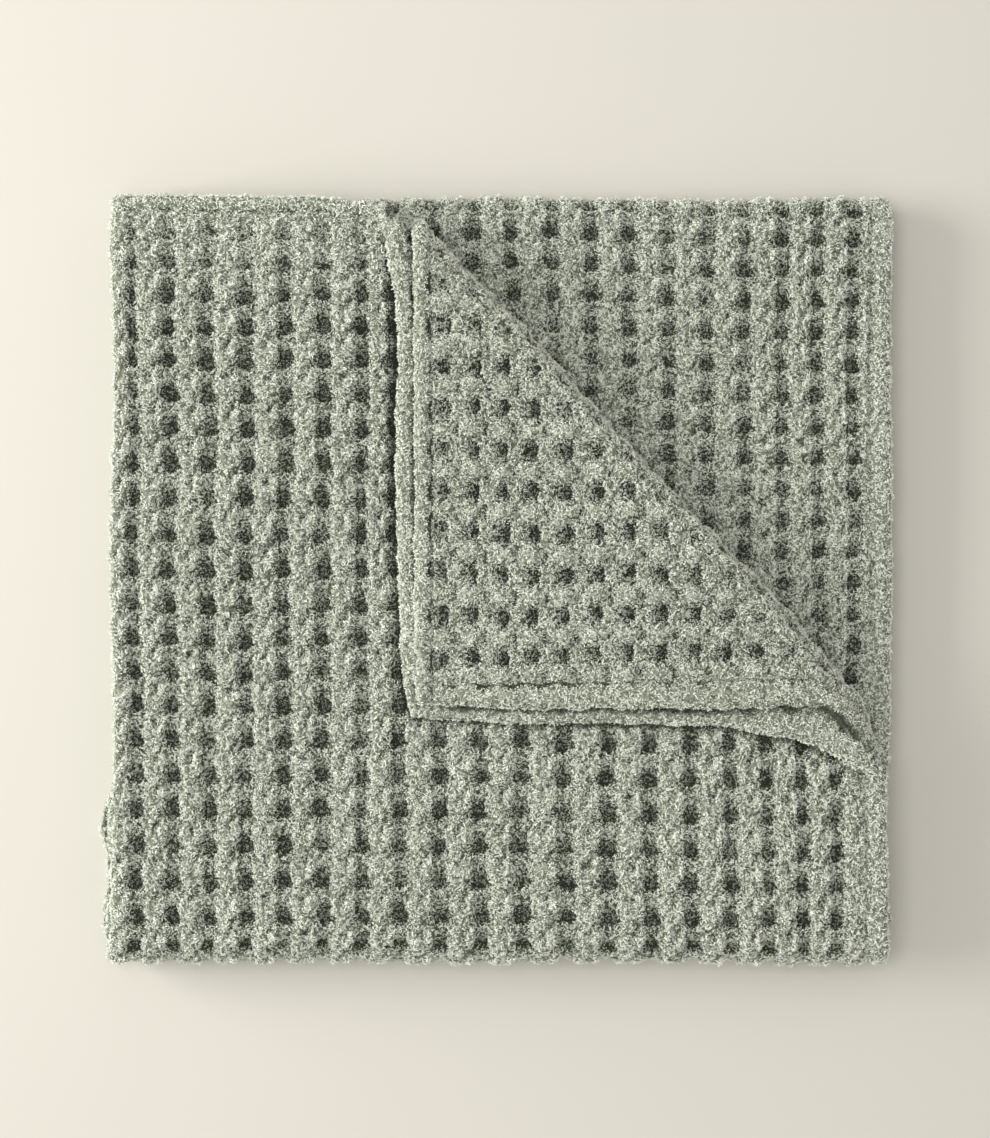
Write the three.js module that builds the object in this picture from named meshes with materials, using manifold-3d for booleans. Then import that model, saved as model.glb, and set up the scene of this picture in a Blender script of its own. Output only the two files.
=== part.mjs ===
// A chunky waffle-knit throw, folded in half across its width and then in thirds along its length,
// with the free corner of its two top plies turned back over a diagonal. Millimetres, +Z up.
import * as THREE from 'three';
import { mergeVertices } from 'three/addons/utils/BufferGeometryUtils.js';
import Module from 'manifold-3d';

// Folded size, ply thickness and the space between plies
const BUNDLE_X = 610;
const BUNDLE_Y = 598;
const PLY = 9.2;
const PLY_GAP = 1;
const PLY_PITCH = PLY + PLY_GAP;

// Waffle knit: ribs run along Y, bars cross them, and a pit lies between
const RIB_COUNT = 19;
const ROW_PITCH = 25.1;
const ROW_COUNT = 22;
const PIT_DEPTH = 5;
const BAR_DEPTH = 2;
const CREST_DEPTH = 0.5;
const CREASE_GROOVE = 3;
const CREASE_RIB = 8;
const HEM_WIDTH = 15;
const HEM_ROUND = 3;
const HEM_GROOVE = 2.5;
const HEM_GROOVE_WIDTH = 3;

// How far each third's hem and crease lie from the top third's, as uneven as the bundle
const THIRDS = [
  { name: 'top', hemShift: 0, creaseShift: 0 },
  { name: 'lowest', hemShift: 6, creaseShift: -3 },
  { name: 'inner', hemShift: 5, creaseShift: -2 },
];
const SIDE_HEM_SET_IN = 8;
const SIDE_CREASE_SET_IN = 3;
const TOP_HEM_SET_IN = 2;
const TOP_CREASE_SET_IN = 5;
const INNER_END_CLEARANCE = 2;

// Turned-back corner: the diagonal that its bend reaches to, and the hems of each ply on the flap
const DIAGONAL_START = new THREE.Vector2(-47.9, 277.3);
const DIAGONAL_END = new THREE.Vector2(294.9, -100.5);
const FLAP_CLEARANCE = 1.2;
const FLAP_OVERLAP = 8;
const FLAP_THINNER = 0.6;
const FLAP_LENGTH = 300;
const FLAP_PLIES = [
  {
    name: 'upper half',
    hem: [
      { x: -79, y: 190 },
      { x: -73, y: -116 },
      { x: 154, y: -110 },
      { x: 271, y: -130 },
      { x: 296, y: -158 },
    ],
    outer: { x: 299, y: 297 },
  },
  {
    name: 'lower half',
    hem: [
      { x: -62, y: 190 },
      { x: -58, y: -88 },
      { x: 232, y: -90 },
      { x: 274, y: -112 },
      { x: 294, y: -141 },
    ],
    outer: { x: 297, y: 295 },
  },
];
const FLAP_RIB_PITCH = 30.4;
const FLAP_ROW_PITCH = 25;
const FLAP_BEND_MARGIN = 6;

// Soft unevenness of the whole bundle, none of it at the surface that it rests on
const EDGE_WAVE = 2.2;
const EDGE_WAVE_LENGTH = 260;
const TOP_WAVE = 1.4;
const DIAGONAL_SWELL = 9;
const DIAGONAL_SWELL_AT = 395;
const DIAGONAL_SWELL_LENGTH = 75;

const ARC_STEPS = 10;
const COLOR = 0x9ea396;

// Levels of the three thirds: each is a band of two plies
const BAND = 2 * PLY + PLY_GAP;
const BAND_PITCH = BAND + PLY_GAP;
const HALF_BAND = BAND / 2;
const LOWEST_Z = HALF_BAND;
const INNER_Z = LOWEST_Z + BAND_PITCH;
const TOP_Z = INNER_Z + BAND_PITCH;
const TOP_FACE = TOP_Z + HALF_BAND;

// Fold lines across Y
const FRONT_RADIUS = (TOP_Z - LOWEST_Z) / 2;
const BACK_RADIUS = (INNER_Z - LOWEST_Z) / 2;
const FRONT_Y = -BUNDLE_Y / 2 + FRONT_RADIUS + HALF_BAND;
const TOP_HEM_Y = BUNDLE_Y / 2 - TOP_HEM_SET_IN;
const BACK_Y = BUNDLE_Y / 2 - TOP_CREASE_SET_IN - BACK_RADIUS - HALF_BAND;
const INNER_END_Y = FRONT_Y + INNER_END_CLEARANCE;

// Ends of the section across X
const CREASE_X = -BUNDLE_X / 2 + SIDE_CREASE_SET_IN + HALF_BAND;
const HEM_X = BUNDLE_X / 2 - SIDE_HEM_SET_IN;
const FIRST_PIT_X = CREASE_X + CREASE_RIB;
const RIB_PITCH = (HEM_X - HEM_WIDTH - FIRST_PIT_X) / RIB_COUNT;
const FIRST_BAR_Y = TOP_HEM_Y - HEM_WIDTH;

// Frame of the diagonal: along it, and across it towards the free corner
const ALONG = DIAGONAL_END.clone().sub(DIAGONAL_START).normalize();
const ACROSS = new THREE.Vector2(-ALONG.y, ALONG.x);
const UPPER_BEND = PLY / 2 + FLAP_CLEARANCE / 2;
const LOWER_BEND = UPPER_BEND + PLY_PITCH;
const BEND_REACH = LOWER_BEND + PLY / 2;

const wasm = await Module();
wasm.setup();

function solidFrom(positions, triangles) {
  const vertProperties = new Float32Array(positions.flat());
  const triVerts = new Uint32Array(triangles.flat());
  return new wasm.Manifold(new wasm.Mesh({ numProp: 3, vertProperties, triVerts }));
}

function solidFromGeometry(geometry) {
  geometry.deleteAttribute('normal');
  geometry.deleteAttribute('uv');
  const merged = mergeVertices(geometry, 1e-4);
  const vertProperties = new Float32Array(merged.attributes.position.array);
  const triVerts = new Uint32Array(merged.index.array);
  return new wasm.Manifold(new wasm.Mesh({ numProp: 3, vertProperties, triVerts }));
}

function prism(corners, bottom, top) {
  const shape = new THREE.Shape(corners.map(({ x, y }) => new THREE.Vector2(x, y)));
  const geometry = new THREE.ExtrudeGeometry(shape, { depth: top - bottom, bevelEnabled: false });
  geometry.translate(0, 0, bottom);
  return solidFromGeometry(geometry);
}

// Distance along the diagonal's bend axis and across it, of a point in plan
function diagonalFrame(x, y) {
  const dx = x - DIAGONAL_START.x;
  const dy = y - DIAGONAL_START.y;
  return {
    along: dx * ALONG.x + dy * ALONG.y,
    across: dx * ACROSS.x + dy * ACROSS.y + BEND_REACH,
  };
}

// The way of the folded thirds through Y and Z, with the offset direction of the band's upper face
function foldPath() {
  const topLength = TOP_HEM_Y - FRONT_Y;
  const frontStart = topLength;
  const lowestStart = frontStart + Math.PI * FRONT_RADIUS;
  const backStart = lowestStart + BACK_Y - FRONT_Y;
  const innerStart = backStart + Math.PI * BACK_RADIUS;
  const end = innerStart + BACK_Y - INNER_END_Y;
  const at = (s) => {
    if (s <= frontStart) return { y: TOP_HEM_Y - s, z: TOP_Z, ny: 0, nz: 1 };
    if (s < lowestStart) {
      const turn = (s - frontStart) / FRONT_RADIUS;
      const ny = -Math.sin(turn);
      const nz = Math.cos(turn);
      return { y: FRONT_Y + FRONT_RADIUS * ny, z: INNER_Z + FRONT_RADIUS * nz, ny, nz };
    }
    if (s <= backStart) return { y: FRONT_Y + s - lowestStart, z: LOWEST_Z, ny: 0, nz: -1 };
    if (s < innerStart) {
      const turn = (s - backStart) / BACK_RADIUS;
      const ny = Math.sin(turn);
      const nz = -Math.cos(turn);
      const z = LOWEST_Z + BACK_RADIUS * (1 + nz);
      return { y: BACK_Y + BACK_RADIUS * ny, z, ny, nz };
    }
    return { y: BACK_Y - (s - innerStart), z: INNER_Z, ny: 0, nz: 1 };
  };
  return { frontStart, lowestStart, backStart, innerStart, end, at };
}

const PATH = foldPath();

function between(s, start, end) {
  return THREE.MathUtils.clamp((s - start) / (end - start), 0, 1);
}

// Blend of a value of the three thirds along the path
function thirdsValue(s, key) {
  const [top, lowest, inner] = THIRDS;
  const toLowest = THREE.MathUtils.lerp(top[key], lowest[key], between(s, PATH.frontStart, PATH.lowestStart));
  return THREE.MathUtils.lerp(toLowest, inner[key], between(s, PATH.backStart, PATH.innerStart));
}

// Grooves between ribs fade out under the bundle, where it lies flat
function grooveDepth(s) {
  const leaving = 1 - between(s, PATH.frontStart, PATH.lowestStart);
  const coming = between(s, PATH.backStart, PATH.innerStart);
  return CREASE_GROOVE * Math.max(leaving, coming);
}

// The section of the band, half over half, as lines in order around it
function sectionLines() {
  const upper = PLY_GAP / 2 + PLY / 2;
  const lines = [];
  const add = (x, offset, kind, middle) => lines.push({ x, offset, kind, middle });
  const hemEnd = (side) => {
    const rim = [
      { x: HEM_X - HEM_ROUND, offset: PLY / 2 },
      { x: HEM_X, offset: PLY / 2 - HEM_ROUND },
      { x: HEM_X, offset: HEM_ROUND - PLY / 2 },
      { x: HEM_X - HEM_ROUND, offset: -PLY / 2 },
    ];
    rim.forEach(({ x, offset }) => add(x, upper * side + offset, 'plain', upper * side));
  };
  const crease = (radius, steps, from, to) => {
    for (let i = 1; i < steps; i += 1) {
      const angle = THREE.MathUtils.lerp(from, to, i / steps);
      add(CREASE_X + radius * Math.cos(angle), radius * Math.sin(angle), 'plain', 0);
    }
  };
  add(CREASE_X, HALF_BAND, 'crest', upper);
  for (let i = 0; i <= RIB_COUNT; i += 1) {
    const pitX = FIRST_PIT_X + i * RIB_PITCH;
    add(pitX, HALF_BAND, 'pit', upper);
    if (i < RIB_COUNT) add(pitX + RIB_PITCH / 2, HALF_BAND, 'crest', upper);
  }
  add(HEM_X - HEM_WIDTH / 2, HALF_BAND, 'crest', upper);
  hemEnd(1);
  add(CREASE_X, PLY_GAP / 2, 'plain', upper);
  crease(PLY_GAP / 2, 4, Math.PI / 2, Math.PI * 1.5);
  add(CREASE_X, -PLY_GAP / 2, 'plain', -upper);
  hemEnd(-1);
  add(CREASE_X, -HALF_BAND, 'plain', -upper);
  crease(HALF_BAND, ARC_STEPS - 2, Math.PI * 1.5, Math.PI / 2);
  return lines;
}

// Stations along the path where every line has a point
function baseStations() {
  const stations = [];
  for (let i = 0; i <= ARC_STEPS; i += 1) {
    stations.push(THREE.MathUtils.lerp(PATH.frontStart, PATH.lowestStart, i / ARC_STEPS));
    stations.push(THREE.MathUtils.lerp(PATH.backStart, PATH.innerStart, i / ARC_STEPS));
  }
  const hem = [0, HEM_ROUND, HEM_WIDTH - HEM_GROOVE_WIDTH, PATH.end - HEM_ROUND, PATH.end];
  return [...hem.map((s) => ({ s, depth: 0 })), ...stations.map((s) => ({ s, depth: grooveDepth(s) }))];
}

function insidePolygon(corners, x, y) {
  let inside = false;
  corners.forEach((a, i) => {
    const b = corners[(i + 1) % corners.length];
    const crosses = a.y > y !== b.y > y;
    if (crosses && x < ((b.x - a.x) * (y - a.y)) / (b.y - a.y) + a.x) inside = !inside;
  });
  return inside;
}

function flapOutline({ hem, outer }) {
  const last = hem[hem.length - 1];
  return [{ x: hem[0].x, y: outer.y }, ...hem, { x: outer.x, y: last.y }, outer];
}

// Extra stations on the rows of the waffle, where the ply shows
function rowStations(line) {
  if (line.kind === 'plain') return [];
  const rows = [];
  const upperFlap = flapOutline(FLAP_PLIES[0]);
  const addRow = (s, y, isPit, shows) => {
    if (shows(line.x, y)) rows.push({ s, depth: isPit ? PIT_DEPTH : BAR_DEPTH });
  };
  const onTop = (x, y) => !insidePolygon(upperFlap, x, y);
  const onInner = (x, y) => diagonalFrame(x, y).across > BEND_REACH + FLAP_OVERLAP;
  for (let i = 0; i < 2 * ROW_COUNT; i += 1) {
    const isPit = i % 2 === 1;
    const y = FIRST_BAR_Y - (i * ROW_PITCH) / 2;
    if (y > FRONT_Y + HEM_ROUND) addRow(TOP_HEM_Y - y, y, isPit, onTop);
    if (y < BACK_Y - HEM_ROUND && y > INNER_END_Y + HEM_WIDTH) {
      addRow(PATH.innerStart + BACK_Y - y, y, isPit, onInner);
    }
  }
  return rows;
}

function sheetPoint(line, s, depth) {
  const place = PATH.at(s);
  const width = HEM_X - CREASE_X;
  const share = (line.x - CREASE_X) / width;
  const shift = thirdsValue(s, 'hemShift') * share + thirdsValue(s, 'creaseShift') * (1 - share);
  const inHemGroove = Math.abs(s - HEM_WIDTH) < 1 && line.kind !== 'plain';
  const crestDepth = inHemGroove ? HEM_GROOVE : 0;
  const offset = line.offset - (line.kind === 'pit' ? depth : crestDepth);
  const atEnd = s === 0 || s === PATH.end;
  const thinned = atEnd ? THREE.MathUtils.lerp(line.middle, offset, 0.5) : offset;
  return [line.x + shift, place.y + thinned * place.ny, place.z + thinned * place.nz];
}

// Triangles between two neighbouring lines that may have different stations
function stitch(a, b) {
  const triangles = [];
  let i = 0;
  let j = 0;
  while (i < a.length - 1 || j < b.length - 1) {
    const nextA = i < a.length - 1 ? a[i + 1].s : Infinity;
    const nextB = j < b.length - 1 ? b[j + 1].s : Infinity;
    if (nextA === nextB) {
      triangles.push([a[i].index, a[i + 1].index, b[j].index]);
      triangles.push([a[i + 1].index, b[j + 1].index, b[j].index]);
      i += 1;
      j += 1;
    } else if (nextA < nextB) {
      triangles.push([a[i].index, a[i + 1].index, b[j].index]);
      i += 1;
    } else {
      triangles.push([a[i].index, b[j + 1].index, b[j].index]);
      j += 1;
    }
  }
  return triangles;
}

// The whole cloth as folded, before its corner is turned back
function foldedCloth() {
  const positions = [];
  const lines = sectionLines();
  const rails = lines.map((line) => {
    const stations = [...baseStations(), ...rowStations(line)].sort((a, b) => a.s - b.s);
    return stations.map(({ s, depth }) => {
      positions.push(sheetPoint(line, s, depth));
      return { s, index: positions.length - 1 };
    });
  });
  const triangles = [];
  rails.forEach((rail, i) => triangles.push(...stitch(rail, rails[(i + 1) % rails.length])));
  const first = rails.map((rail) => rail[0].index);
  const last = rails.map((rail) => rail[rail.length - 1].index);
  const contour = lines.map(({ x, offset }) => new THREE.Vector2(x, offset));
  THREE.ShapeUtils.triangulateShape(contour, []).forEach(([a, b, c]) => {
    triangles.push([first[a], first[c], first[b]], [last[a], last[b], last[c]]);
  });
  return solidFrom(positions, triangles);
}

// One ply turned back: a tongue in the cloth, the round bend and the flap over it
function turnedPly(bend, level) {
  const thick = PLY - FLAP_THINNER;
  const high = level + 2 * bend;
  const middle = level + bend;
  const shape = new THREE.Shape();
  shape.moveTo(-FLAP_OVERLAP, level - thick / 2);
  shape.lineTo(0, level - thick / 2);
  shape.absarc(0, middle, bend + thick / 2, -Math.PI / 2, Math.PI / 2, false);
  shape.lineTo(-FLAP_LENGTH, high + thick / 2);
  shape.lineTo(-FLAP_LENGTH, high - thick / 2);
  shape.lineTo(0, high - thick / 2);
  shape.absarc(0, middle, bend - thick / 2, Math.PI / 2, -Math.PI / 2, true);
  shape.lineTo(-FLAP_OVERLAP, level + thick / 2);
  const run = DIAGONAL_END.distanceTo(DIAGONAL_START);
  const extra = 120;
  const geometry = new THREE.ExtrudeGeometry(shape, {
    depth: run + 2 * extra,
    bevelEnabled: false,
    curveSegments: ARC_STEPS,
  });
  const start = DIAGONAL_START.clone().addScaledVector(ACROSS, -BEND_REACH).addScaledVector(ALONG, -extra);
  const basis = new THREE.Matrix4().makeBasis(
    new THREE.Vector3(ACROSS.x, ACROSS.y, 0),
    new THREE.Vector3(0, 0, 1),
    new THREE.Vector3(ALONG.x, ALONG.y, 0),
  );
  geometry.applyMatrix4(basis.setPosition(start.x, start.y, 0));
  return solidFromGeometry(geometry);
}

// A block whose underside is the waffle, for pressing it into the flap's face
function wafflePress(face) {
  const above = 15;
  const { hem } = FLAP_PLIES[1];
  const left = hem[1].x + HEM_WIDTH;
  const bottom = hem[1].y + HEM_WIDTH;
  const columns = 26;
  const rows = 24;
  const positions = [];
  const index = (i, j, top) => 2 * (i * rows + j) + top;
  for (let i = 0; i < columns; i += 1) {
    for (let j = 0; j < rows; j += 1) {
      const pitColumn = i % 2 === 1;
      const pitRow = j % 2 === 1;
      const grooved = pitColumn ? PIT_DEPTH : BAR_DEPTH;
      const x = left + (i * FLAP_ROW_PITCH) / 2;
      const y = bottom + (j * FLAP_RIB_PITCH) / 2;
      positions.push([x, y, face - (pitRow ? grooved : CREST_DEPTH)], [x, y, face + above]);
    }
  }
  const triangles = [];
  const quad = (a, b, c, d) => triangles.push([a, b, c], [a, c, d]);
  for (let i = 0; i < columns - 1; i += 1) {
    for (let j = 0; j < rows - 1; j += 1) {
      quad(index(i, j, 0), index(i, j + 1, 0), index(i + 1, j + 1, 0), index(i + 1, j, 0));
      quad(index(i, j, 1), index(i + 1, j, 1), index(i + 1, j + 1, 1), index(i, j + 1, 1));
    }
  }
  for (let i = 0; i < columns - 1; i += 1) {
    const far = rows - 1;
    quad(index(i, 0, 0), index(i + 1, 0, 0), index(i + 1, 0, 1), index(i, 0, 1));
    quad(index(i + 1, far, 0), index(i, far, 0), index(i, far, 1), index(i + 1, far, 1));
  }
  for (let j = 0; j < rows - 1; j += 1) {
    const far = columns - 1;
    quad(index(0, j + 1, 0), index(0, j, 0), index(0, j, 1), index(0, j + 1, 1));
    quad(index(far, j, 0), index(far, j + 1, 0), index(far, j + 1, 1), index(far, j, 1));
  }
  return solidFrom(positions, triangles);
}

// Plan of the flap's waffle: inside its hems and short of the bend
function waffleRegion() {
  const { hem } = FLAP_PLIES[1];
  const corner = hem[1];
  const left = corner.x + HEM_WIDTH;
  const bottom = corner.y + HEM_WIDTH;
  const start = DIAGONAL_START.clone().addScaledVector(ACROSS, -BEND_REACH - FLAP_BEND_MARGIN);
  const slope = ALONG.y / ALONG.x;
  return [
    { x: left, y: bottom },
    { x: start.x + (bottom - start.y) / slope, y: bottom },
    { x: left, y: start.y + (left - start.x) * slope },
  ];
}

function cutAway() {
  const far = 500;
  const at = (along, across) => {
    const point = DIAGONAL_START.clone().addScaledVector(ALONG, along);
    return point.addScaledVector(ACROSS, across - BEND_REACH);
  };
  const under = INNER_Z + HALF_BAND + PLY_GAP / 2;
  return prism([at(-far, 0), at(2 * far, 0), at(2 * far, far), at(-far, far)], under, TOP_FACE + PLY);
}

function flap() {
  const levels = [TOP_Z + PLY_PITCH / 2, TOP_Z - PLY_PITCH / 2];
  const bends = [UPPER_BEND, LOWER_BEND];
  const ceiling = TOP_FACE + 4 * PLY_PITCH;
  const floor = INNER_Z + HALF_BAND;
  const plies = FLAP_PLIES.map((ply, i) => {
    const outline = prism(flapOutline(ply), floor, ceiling);
    return turnedPly(bends[i], levels[i]).intersect(outline);
  });
  const face = levels[1] + 2 * LOWER_BEND + (PLY - FLAP_THINNER) / 2;
  const press = wafflePress(face).intersect(prism(waffleRegion(), floor, ceiling));
  return plies[0].add(plies[1].subtract(press));
}

// Soft unevenness of a soft thing: edges waver, the top rolls, the diagonal swells near its end
function settle([x, y, z]) {
  const turn = (2 * Math.PI) / EDGE_WAVE_LENGTH;
  const height = z / TOP_FACE;
  const { along, across } = diagonalFrame(x, y);
  const near = Math.exp(-(((along - DIAGONAL_SWELL_AT) / DIAGONAL_SWELL_LENGTH) ** 2));
  const reach = THREE.MathUtils.smoothstep(across, -2 * BEND_REACH, 0);
  const onFlap = THREE.MathUtils.smoothstep(z, INNER_Z + HALF_BAND, TOP_Z - HALF_BAND);
  const swell = DIAGONAL_SWELL * near * reach * onFlap;
  return [
    x + EDGE_WAVE * Math.sin(y * turn + 1) * (x / BUNDLE_X) * 2 + swell * ACROSS.x,
    y + EDGE_WAVE * Math.sin(x * turn + 2) * (y / BUNDLE_Y) * 2 + swell * ACROSS.y,
    z + TOP_WAVE * height * Math.sin(x * turn * 0.7) * Math.cos(y * turn * 0.6 + 0.5),
  ];
}

function throwBlanket() {
  const solid = foldedCloth().subtract(cutAway()).add(flap());
  const mesh = solid.getMesh();
  const positions = [];
  for (let i = 0; i < mesh.vertProperties.length; i += 3) {
    positions.push(...settle(mesh.vertProperties.slice(i, i + 3)));
  }
  const geometry = new THREE.BufferGeometry();
  geometry.setAttribute('position', new THREE.Float32BufferAttribute(positions, 3));
  geometry.setIndex([...mesh.triVerts]);
  geometry.computeBoundingBox();
  const middle = geometry.boundingBox.getCenter(new THREE.Vector3());
  geometry.translate(-middle.x, -middle.y, -geometry.boundingBox.min.z);
  geometry.computeVertexNormals();
  const material = new THREE.MeshStandardMaterial({ color: COLOR, roughness: 0.95, metalness: 0 });
  const cloth = new THREE.Mesh(geometry, material);
  cloth.name = 'throw_blanket';
  return cloth;
}

const blanket = new THREE.Group();
blanket.add(throwBlanket());

export default blanket;
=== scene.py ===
import math

import bpy
import numpy as np
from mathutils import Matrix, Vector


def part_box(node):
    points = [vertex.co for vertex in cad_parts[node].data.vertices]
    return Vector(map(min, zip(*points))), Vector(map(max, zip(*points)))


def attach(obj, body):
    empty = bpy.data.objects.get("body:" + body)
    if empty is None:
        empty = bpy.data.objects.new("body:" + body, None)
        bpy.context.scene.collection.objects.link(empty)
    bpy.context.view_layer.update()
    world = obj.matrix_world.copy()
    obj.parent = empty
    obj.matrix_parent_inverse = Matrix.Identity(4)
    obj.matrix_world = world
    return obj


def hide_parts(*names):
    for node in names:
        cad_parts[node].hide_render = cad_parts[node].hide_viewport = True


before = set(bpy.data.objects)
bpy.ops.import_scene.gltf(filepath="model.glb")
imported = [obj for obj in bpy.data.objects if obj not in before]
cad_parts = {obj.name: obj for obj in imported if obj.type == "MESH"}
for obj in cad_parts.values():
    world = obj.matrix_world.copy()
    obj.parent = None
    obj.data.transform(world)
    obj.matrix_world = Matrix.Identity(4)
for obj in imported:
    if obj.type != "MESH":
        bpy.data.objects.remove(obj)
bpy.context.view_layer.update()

# A chunky waffle-knit throw in chenille yarn, folded in half across its width and then in thirds along
# its length, with the free corner of its two top plies turned back. Sizes are in millimetres, and
# the size of the flat cloth is in metres.
NODE = "throw_blanket"
SLOT = "chenille_knit"
MM = 0.001

# Folded size, ply thickness and the space between plies
BUNDLE_X = 616.0
BUNDLE_Y = 604.0
PLY = 9.2
PLY_GAP = 1.0
BAND = 2 * PLY + PLY_GAP
HALF_BAND = BAND / 2
LOWEST_Z = HALF_BAND
INNER_Z = LOWEST_Z + BAND + PLY_GAP
TOP_Z = INNER_Z + BAND + PLY_GAP
TOP_FACE = TOP_Z + HALF_BAND

# Fold lines across Y, and the ends of the section across X, with how far each lies inside the bundle
TOP_HEM_INSET = 2.0
BACK_INSET = -2.0
INNER_END_INSET = 2.0
CREASE_INSET = 3.0
SIDE_HEM_INSET = 8.0
FRONT_RADIUS = (TOP_Z - LOWEST_Z) / 2
BACK_RADIUS = (INNER_Z - LOWEST_Z) / 2
FRONT_Y = -BUNDLE_Y / 2 + FRONT_RADIUS + HALF_BAND
TOP_HEM_Y = BUNDLE_Y / 2 - TOP_HEM_INSET
BACK_Y = BUNDLE_Y / 2 - BACK_INSET - BACK_RADIUS - HALF_BAND
INNER_END_Y = FRONT_Y + INNER_END_INSET
CREASE_X = -BUNDLE_X / 2 + CREASE_INSET + HALF_BAND
HEM_X = BUNDLE_X / 2 - SIDE_HEM_INSET

# The way of the folded thirds, measured along the middle of the doubled cloth
TOP_END = TOP_HEM_Y - FRONT_Y
FRONT_END = TOP_END + math.pi * FRONT_RADIUS
LOWEST_END = FRONT_END + BACK_Y - FRONT_Y
BACK_END = LOWEST_END + math.pi * BACK_RADIUS
PATH_END = BACK_END + BACK_Y - INNER_END_Y

# How far each lower third's hem and crease lie from the top third's, at places along Y
LOWER_THIRDS = {
    "y": (-299, -272, -235, -195, -150, -110, 299),
    "hem_lowest": (9, 8, 3, 2, 3, 5, 6),
    "hem_inner": (8, 7, 2, 2, 5, 7.5, 7.5),
    "crease_lowest": (-14, -18, -9, -17, -5, -3, -3),
    "crease_inner": (-7, -9, -3, -7, -2, -2, -2),
}

# Rolled hems: their width up to the stitched groove, the turning behind, the rim and the groove, where the
# plain part ends, and how far and how near the rim they waver
SIDE_HEM = 16.5
END_HEM = 12.0
TURNING = [
    {"place": 42.0, "height": -2.5},
    {"place": 25.0, "height": -5.5},
    {"place": 16.5, "height": -8.4},
    {"place": 10.5, "height": -9.8},
]
TUCK = 0.3
RIM_TURNS = np.radians(np.linspace(-75, 90, 8))
GROOVE = [
    {"share": 0.72, "height": -0.4},
    {"share": 0.88, "height": -2.2},
    {"share": 1.00, "height": -4.8},
    {"share": 1.12, "height": -2.6},
]
HEM_END_SHARE = 1.25
HEM_EASE = 7.0
HEM_WAVER = 1.3
HEM_WAVER_CELL = 8.0
HEM_WAVER_REACH = (4.0, 14.0)

# Turned-back corner: a diagonal, how far its bend starts from it, and how each half of the cloth lies on it
DIAGONAL_START = np.array([-47.9, 277.3])
DIAGONAL_END = np.array([294.9, -100.5])
ALONG = (DIAGONAL_END - DIAGONAL_START) / np.linalg.norm(DIAGONAL_END - DIAGONAL_START)
ACROSS = np.array([-ALONG[1], ALONG[0]])
BEND_START = 20.0
FLAP = {
    "upper": {
        "radius": 1.2, "reach": 1.2, "swell": 0.0, "stretch": 0.918, "skew": 0.184,
        "facing": 1, "pinch": 0.75,
    },
    "lower": {
        "radius": 20.0, "reach": 13.5, "swell": 4.5, "stretch": 1.086, "skew": 0.245,
        "facing": -1, "pinch": 0.0,
    },
}
SWELL_ALONG = 390.0
SWELL_WIDTH = 60.0
PINCH_REACH = (8.0, 30.0)

# Where the hems of the turned-back corner lie, seen from above, how far the pile stands out from them, and
# the steps by which they are moved there
PILE_STAND = 2.3
HEM_STEP = 35.0
FLAP_HEMS = {
    "upper": {
        "left_y": (-107, -93, -29, 104, 173, 215, 243, 270, 296),
        "left_x": (-71, -76.7, -80.6, -83.7, -81.7, -83.7, -87, -89, -91.5),
        "bottom_x": (-69, 14, 108, 147, 173, 191, 206, 230, 242, 254, 262, 270),
        "bottom_y": (
            -107, -112, -112, -114.5, -113, -117.6, -122, -124, -131, -132.4, -140, -150,
        ),
    },
    "lower": {
        "left_y": (-85, -15, 104, 215, 257),
        "left_x": (-67.4, -68.6, -68.5, -69.7, -65.8),
        "bottom_x": (-62, -1, 108, 147, 193, 230, 250),
        "bottom_y": (-96.6, -99.7, -100.5, -100.5, -99, -98, -98.7),
    },
}

# The gap beside each turned-back hem, on the cloth under it: how wide it is along that hem, how far the
# cloth rises or sinks in it, and how much painted shade darkens it. The lower hem's end curls down over the
# bend, in a groove that takes the same painted shade.
FLAP_GAPS = {
    "upper": {
        "left_y": (-107, 60, 120, 200, 240, 297),
        "left_gap": (1.5, 3, 5, 4, 2, 1),
        "bottom_x": (-69, 0, 150, 235, 258),
        "bottom_gap": (1.2, 2, 3.2, 3, 0.4),
        "curl_x": (),
        "curl_y": (),
        "rise": -2,
        "shade": 0.55,
    },
    "lower": {
        "left_y": (-85, -20, 60, 200, 230, 245, 262, 274, 281, 297),
        "left_gap": (0.4, 0.6, 1.4, 1.6, 2.5, 5, 8, 8, 2, 0.5),
        "bottom_x": (-62, 40, 120, 200, 262, 290),
        "bottom_gap": (0.5, 1, 2.4, 3.2, 4, 4),
        "curl_x": (250.5, 260.8, 271.5, 281.6, 288.6),
        "curl_y": (-98.8, -102.8, -110.6, -123.9, -131.6),
        "rise": 4.5,
        "shade": 0.8,
    },
}
GAP_INSIDE = (-4.0, -2.5)
GAP_OUTSIDE = (0.4, 1.4)
CURL_START = (222.0, 232.0)
CURL_END = (289.0, 293.0)
CURL_WIDTH = (1.5, 4.0)
CURL_DEPTH = 4.0

# How far the ends of the bend shift, at places along it and across it
BEND_SHIFTS = {
    "upper": {
        "along": (-66.4, -44, 480, 534),
        "across": (-23.9, 1, 1, 1),
        "x": (0, 0, 2, 0),
        "y": (-2, -6, -8, -18),
    },
    "lower": {
        "along": (-44.7, -16.3, -2.1, 400, 440, 470, 483.5, 500.7, 535.6),
        "across": (0, 31.4, 47, 31.4, 31.4, 31.4, 47, 31.4, 0),
        "x": (0, 3, -6, 5.4, 11, 18, 2.7, 7.6, -1),
        "y": (-8, -6, 0, -5.9, -12, -19.3, -22.8, -32, -12),
    },
}

# Where the cloth stays still: along its bend, and across from it
STILL_BEND = {
    "upper": {"across": 1.0, "along": (0, 150, 300, 420)},
    "lower": {"across": 31.4, "along": (100, 200, 300)},
}
STILL_ALONG = (-90, 0, 150, 300, 420, 520, 620)
STILL_ACROSS = -45.0

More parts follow.
